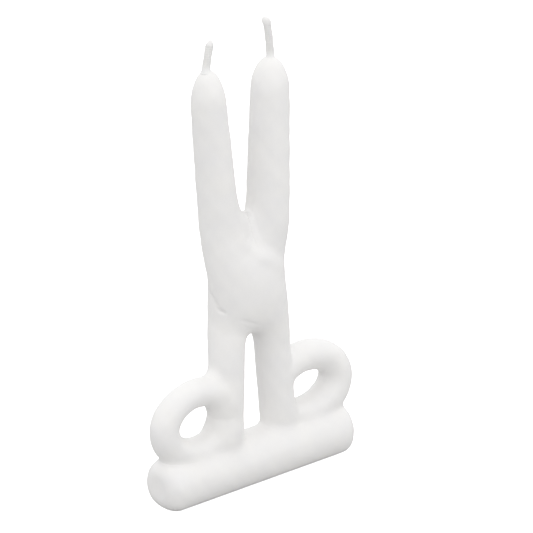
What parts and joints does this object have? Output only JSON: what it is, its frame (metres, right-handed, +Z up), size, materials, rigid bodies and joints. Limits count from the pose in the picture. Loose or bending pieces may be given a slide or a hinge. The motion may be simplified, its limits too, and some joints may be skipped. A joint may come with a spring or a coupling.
{
  "type": "unity candle",
  "caption": "Scissor-shaped unity candle: crossed wax tapers with wicks, ring loops beside the legs and a flat-bottomed log foot.",
  "frame": {"origin": "centre of the flat underside of the foot, on the surface that the candle stands on", "axes": "+Z up along the tapers, +X along the foot, -Y on the side where the front strand passes over the crossing"},
  "size_m": [0.1283, 0.0349, 0.2444],
  "materials": {
    "wax": "smooth white candle wax, slightly translucent, soft sheen",
    "wax_coat": "thin dipped wax through which the wick shows",
    "wick_cotton": "braided cotton"
  },
  "bodies": {
    "root": {"base_bar": "wax", "front_taper": "wax", "rear_taper": "wax", "right_loop": "wax", "left_loop": "wax", "front_wick": "wick_cotton", "rear_wick": "wick_cotton", "front_wick_coat": "wax_coat", "rear_wick_coat": "wax_coat", "front_wick_bead": "wax", "rear_wick_bead": "wax"}
  },
  "joints": []
}
